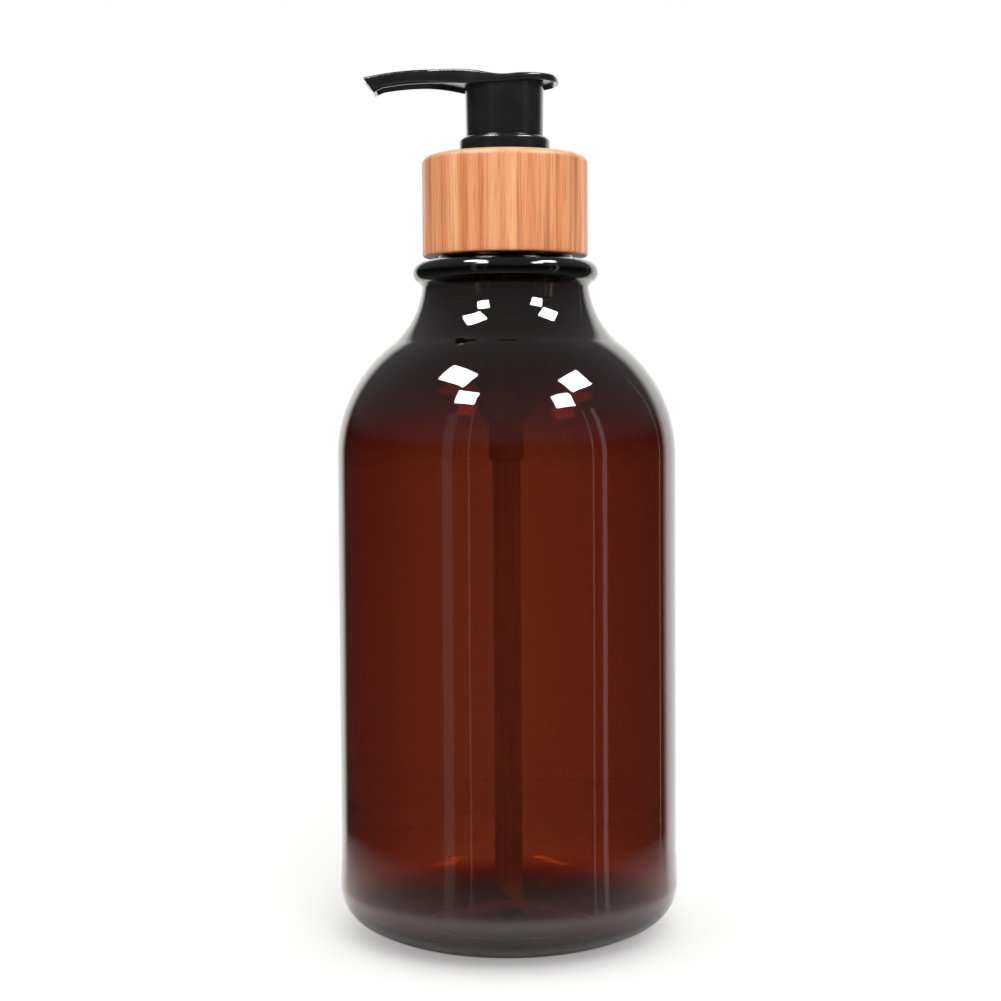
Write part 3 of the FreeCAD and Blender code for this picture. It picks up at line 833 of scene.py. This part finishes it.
# --- spring ----------------------------------------------------------------------------------
def spring():
    """Compression spring with closed, ground-looking end coils."""
    wire_r = 0.4
    coil_r = SPRING_HIGH.x - wire_r
    bottom = SPRING_LOW.z + wire_r
    top = SPRING_HIGH.z - wire_r
    turns = 10.0
    end_turns = 1.0
    end_rise = 2 * wire_r + 0.06
    path = []
    per_turn = 40
    for step in range(int(turns * per_turn) + 1):
        turned = step / per_turn
        open_share = smooth_step(end_turns * 0.6, turns - end_turns * 0.6, turned)
        linear = min(max((turned - end_turns) / (turns - 2 * end_turns), 0.0), 1.0)
        height = end_rise * min(turned, end_turns)
        height += (top - bottom - 2 * end_rise) * (0.85 * linear + 0.15 * open_share)
        height += end_rise * max(turned - (turns - end_turns), 0.0)
        angle = math.tau * turned
        path.append(Vector((coil_r * math.cos(angle), coil_r * math.sin(angle), bottom + height)))
    mesh = bmesh.new()
    rings = []
    sides = 12
    for index, point in enumerate(path):
        along = (path[min(index + 1, len(path) - 1)] - path[max(index - 1, 0)]).normalized()
        outward = Vector((point.x, point.y, 0)).normalized()
        upward = outward.cross(along).normalized()
        outward = along.cross(upward)
        ring = []
        for side in range(sides):
            angle = math.tau * side / sides
            place = point + (outward * math.cos(angle) + upward * math.sin(angle)) * wire_r
            place.z = min(max(place.z, SPRING_LOW.z), SPRING_HIGH.z)
            ring.append(mesh.verts.new(place * MM))
        rings.append(ring)
    skin(mesh, rings)
    piece = new_piece("coil_spring", mesh_data("coil_spring", mesh))
    finish_piece(piece, "spring", ["return_spring"], STEEL)
    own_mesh(piece)
    return piece


# --- dip tube, in millimetres ----------------------------------------------------------------
TUBE_BORE_R = 2.3
TUBE_SLANT_DEG = 35.0
TUBE_SLANT_REACH = 10.0     # the slant of the lower end fades out over this height


def dip_tube():
    """Straight tube with a slanted lower end."""
    outer = TUBE_HIGH.x
    outline = run((outer, TUBE_LOW.z), (outer, TUBE_HIGH.z), 30)
    outline += run((TUBE_BORE_R, TUBE_HIGH.z), (TUBE_BORE_R, TUBE_LOW.z), 30)
    piece = lathe("suction_tube", outline, steps=96)
    slant = math.tan(math.radians(TUBE_SLANT_DEG))
    for vertex in piece.data.vertices:
        x = vertex.co.x / MM
        z = vertex.co.z / MM
        share = 1 - min((z - TUBE_LOW.z) / TUBE_SLANT_REACH, 1.0)
        vertex.co.z = (z + share * (outer - x) * slant) * MM
    return finish_piece(piece, "pump_body", ["dip_tube"], MILKY)


# --- CAD nodes that keep their shape -------------------------------------------------------------
def paint(node, material):
    """Give a CAD node that stays visible its material."""
    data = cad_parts[node].data
    data.materials.clear()
    data.materials.append(material)


# --- stage, in metres ------------------------------------------------------------------------------
LIGHT_DISTANCE = 0.9
LIGHT_AIM = Vector((0, 0, 0.12))
SOFT_BOXES = (
    # name, azimuth and height in degrees, width and length, radiance
    ("box_left_front", -34.0, 45.0, (0.20, 0.155), 40.0),
    ("box_left_back", -58.0, 60.0, (0.30, 0.20), 40.0),
    ("box_right_front", 46.5, 40.5, (0.20, 0.155), 40.0),
    ("box_right_back", 71.0, 51.0, (0.27, 0.18), 40.0),
    ("strip_right_inner", 57.7, 0.0, (0.022, 1.1), 0.55),
    ("strip_right_outer", 66.3, 0.0, (0.055, 1.1), 0.75),
    ("strip_right_rim", 122.0, 0.0, (0.012, 1.1), 0.8),
    ("strip_left", -39.0, 0.0, (0.110, 1.1), 0.26),
    ("strip_left_inner", -24.5, 0.0, (0.014, 1.1), 0.5),
)
TABLE_NEAR_R = 0.17
TABLE_R = 6.0
TABLE_SIDES = 96
TABLE_GLOW = 0.3            # keeps the table as pale as the world behind it
# painted glow: how bright the table's emission is in reflections
TABLE_REFLECTED_GLOW = 0.75
CONTACT_R = (0.037, 0.052)  # painted shadow: in reflections the table's painted glow grows outwards from under the heel over these radii
FADE_R = (0.055, 0.13)      # and is lost again over these


def look_at(obj, target):
    """Turn an object's -Z towards the target."""
    direction = Vector(target) - obj.location
    obj.rotation_euler = direction.to_track_quat("-Z", "Y").to_euler()


def soft_box(name, azimuth_deg, height_deg, size, radiance):
    """Rectangular light that shows in reflections and through the bottle and leaves matt surfaces
    alone. Azimuth 0 is in front, positive towards +X."""
    azimuth = math.radians(azimuth_deg)
    height = math.radians(height_deg)
    direction = Vector((
        math.sin(azimuth) * math.cos(height),
        -math.cos(azimuth) * math.cos(height),
        math.sin(height),
    ))
    light = bpy.data.lights.new(name, "AREA")
    light.shape = "RECTANGLE"
    light.size, light.size_y = size
    light.energy = radiance * math.pi * size[0] * size[1]
    lamp = bpy.data.objects.new(name, light)
    bpy.context.scene.collection.objects.link(lamp)
    lamp.location = LIGHT_AIM + direction * LIGHT_DISTANCE
    look_at(lamp, LIGHT_AIM)
    lamp.visible_camera = False
    lamp.visible_diffuse = False


def key_light():
    """Large soft light that shapes the matt surfaces and leaves no reflection."""
    light = bpy.data.lights.new("key", "AREA")
    light.shape = "DISK"
    light.size = 0.9
    light.energy = 6.0
    lamp = bpy.data.objects.new("key", light)
    bpy.context.scene.collection.objects.link(lamp)
    lamp.location = (0.25, -1.1, 0.9)
    look_at(lamp, (0, 0, 0.1))
    lamp.visible_camera = False
    lamp.visible_glossy = False
    lamp.visible_transmission = False


def studio_world():
    """White to the eye and through both walls of the bottle, and a weaker white to matt surfaces.
    Rays off a surface, or back out through one wall, see a dim room with a white sheet behind."""
    world = bpy.data.worlds.new("studio")
    bpy.context.scene.world = world
    world.use_nodes = True
    tree = world.node_tree
    tree.nodes.clear()
    output = tree.nodes.new("ShaderNodeOutputWorld")
    direction = tree.nodes.new("ShaderNodeTexCoord").outputs["Generated"]
    split = tree.nodes.new("ShaderNodeSeparateXYZ")
    tree.links.new(direction, split.inputs["Vector"])
    room = ramp(tree, spread(tree, split.outputs["Z"], 0.0, 1.0, -1.0, 1.0), [
        (0.0, (0.30, 0.30, 0.31)),
        (0.36, (0.06, 0.06, 0.06)),
        (0.56, (0.03, 0.03, 0.03)),
        (0.63, (0.17, 0.17, 0.18)),
        (0.80, (0.28, 0.28, 0.29)),
    ])
    aside = calculate(tree, "MULTIPLY", split.outputs["X"], 0.096)
    towards = calculate(tree, "ADD", split.outputs["Y"], aside)
    sheet = ramp(tree, towards, [(0.70, (0.0, 0.0, 0.0)), (0.80, (1.45, 1.44, 1.42))])
    reflected = blend_colour(tree, "ADD", 1.0, room, sheet)
    dim = tree.nodes.new("ShaderNodeBackground")
    tree.links.new(reflected, dim.inputs["Color"])
    white = tree.nodes.new("ShaderNodeBackground")
    white.inputs["Color"].default_value = (1.0, 1.0, 1.0, 1.0)
    fill = tree.nodes.new("ShaderNodeBackground")
    fill.inputs["Color"].default_value = (1.0, 1.0, 1.0, 1.0)
    fill.inputs["Strength"].default_value = 0.72
    ray = tree.nodes.new("ShaderNodeLightPath")
    matt = tree.nodes.new("ShaderNodeMixShader")
    tree.links.new(ray.outputs["Is Diffuse Ray"], matt.inputs["Fac"])
    tree.links.new(white.outputs["Background"], matt.inputs[1])
    tree.links.new(fill.outputs["Background"], matt.inputs[2])
    through = ray.outputs["Is Transmission Ray"]
    not_through = calculate(tree, "SUBTRACT", 1.0, through)
    off_surface = calculate(tree, "MULTIPLY", ray.outputs["Is Glossy Ray"], not_through)
    one_wall = calculate(tree, "LESS_THAN", ray.outputs["Transmission Depth"], 2.5)
    off_inside = calculate(tree, "MULTIPLY", through, one_wall)
    mixed = tree.nodes.new("ShaderNodeMixShader")
    tree.links.new(calculate(tree, "MAXIMUM", off_surface, off_inside), mixed.inputs["Fac"])
    tree.links.new(matt.outputs["Shader"], mixed.inputs[1])
    tree.links.new(dim.outputs["Background"], mixed.inputs[2])
    tree.links.new(mixed.outputs["Shader"], output.inputs["Surface"])


def table_material(name, fades):
    """Pale table. In reflections a fading one shows a painted shadow under the heel, a painted
    glow round it, and is gone a hand away."""
    material, tree, shader, place = new_material(name)
    tree.links.new(
        ramp(tree, noise(tree, place, 6.0), [(0.3, (0.93, 0.93, 0.925)), (0.7, (0.96, 0.96, 0.955))]),
        shader.inputs["Base Color"],
    )
    shader.inputs["Roughness"].default_value = 0.9
    shader.inputs["Specular IOR Level"].default_value = 0.0
    shader.inputs["Emission Color"].default_value = (1.0, 1.0, 1.0, 1.0)
    shader.inputs["Emission Strength"].default_value = TABLE_GLOW
    if fades:
        ray = tree.nodes.new("ShaderNodeLightPath")
        reach = tree.nodes.new("ShaderNodeVectorMath")
        reach.operation = "LENGTH"
        tree.links.new(place, reach.inputs[0])
        gone = spread(tree, reach.outputs["Value"], 0.0, 1.0, *FADE_R)
        outside_painted_shadow = spread(tree, reach.outputs["Value"], 0.0, 1.0, *CONTACT_R)
        clear = tree.nodes.new("ShaderNodeBsdfTransparent")
        mix = tree.nodes.new("ShaderNodeMixShader")
        tree.links.new(calculate(tree, "MULTIPLY", gone, ray.outputs["Is Glossy Ray"]), mix.inputs["Fac"])
        tree.links.new(shader.outputs["BSDF"], mix.inputs[1])
        tree.links.new(clear.outputs["BSDF"], mix.inputs[2])
        tree.links.new(mix.outputs["Shader"], tree.nodes["Material Output"].inputs["Surface"])
        # Painted shadow and glow: for reflected rays the emission is cut under the heel and raised round it.
        reflected = calculate(tree, "MULTIPLY", outside_painted_shadow, TABLE_REFLECTED_GLOW)
        glow = calculate(tree, "SUBTRACT", reflected, TABLE_GLOW)
        boost = calculate(tree, "MULTIPLY", ray.outputs["Is Glossy Ray"], glow)
        tree.links.new(calculate(tree, "ADD", boost, TABLE_GLOW), shader.inputs["Emission Strength"])
    return material


def floor():
    """Table in two parts. The far one does not show in reflections."""
    parts = (("table_near", 0.0, TABLE_NEAR_R), ("table_far", TABLE_NEAR_R, TABLE_R))
    for name, inner_r, outer_r in parts:
        mesh = bmesh.new()
        rings = []
        for radius in (inner_r, outer_r):
            ring = []
            for step in range(TABLE_SIDES if radius else 0):
                angle = math.tau * step / TABLE_SIDES
                ring.append(mesh.verts.new((radius * math.cos(angle), radius * math.sin(angle), 0)))
            rings.append(ring)
        if not inner_r:
            mesh.faces.new(rings[1])
        for step in range(TABLE_SIDES if inner_r else 0):
            following = (step + 1) % TABLE_SIDES
            mesh.faces.new((rings[0][step], rings[0][following], rings[1][following], rings[1][step]))
        data = mesh_data(name, mesh)
        data.materials.append(table_material(name, outer_r == TABLE_NEAR_R))
        ground = bpy.data.objects.new(name, data)
        bpy.context.scene.collection.objects.link(ground)
        ground.visible_glossy = outer_r == TABLE_NEAR_R


def camera():
    """Eye at mid height, 0.41 m in front, tipped down a little and rolled by a third of a degree."""
    lens_px = 1862.0
    frame_px = 1001.0
    sensor = 36.0
    data = bpy.data.cameras.new("camera")
    data.sensor_width = sensor
    data.lens = lens_px / frame_px * sensor
    data.clip_start = 0.01
    data.clip_end = 50.0
    eye = bpy.data.objects.new("camera", data)
    bpy.context.scene.collection.objects.link(eye)
    eye.location = (-0.0014, -0.413, 0.1156)
    tip = math.radians(-2.7)
    roll = math.radians(-0.35)
    eye.rotation_euler = (math.pi / 2 + tip, 0, 0)
    eye.rotation_euler.rotate_axis("Z", roll)
    bpy.context.scene.camera = eye


camera()
studio_world()
floor()
for box in SOFT_BOXES:
    soft_box(*box)
key_light()

bottle()
sleeve()
lock_ring()
actuator()
spring()
dip_tube()
for cad_node, cad_material in (
    ("closure_cap", BLACK),
    ("neck_gasket", FOAM),
    ("pump_housing", NATURAL),
    ("inlet_ball", GLASS),
    ("stem_plug", NATURAL),
    ("piston_seal", NATURAL),
    ("stem", NATURAL),
):
    paint(cad_node, cad_material)

bpy.context.scene.view_settings.view_transform = "Standard"
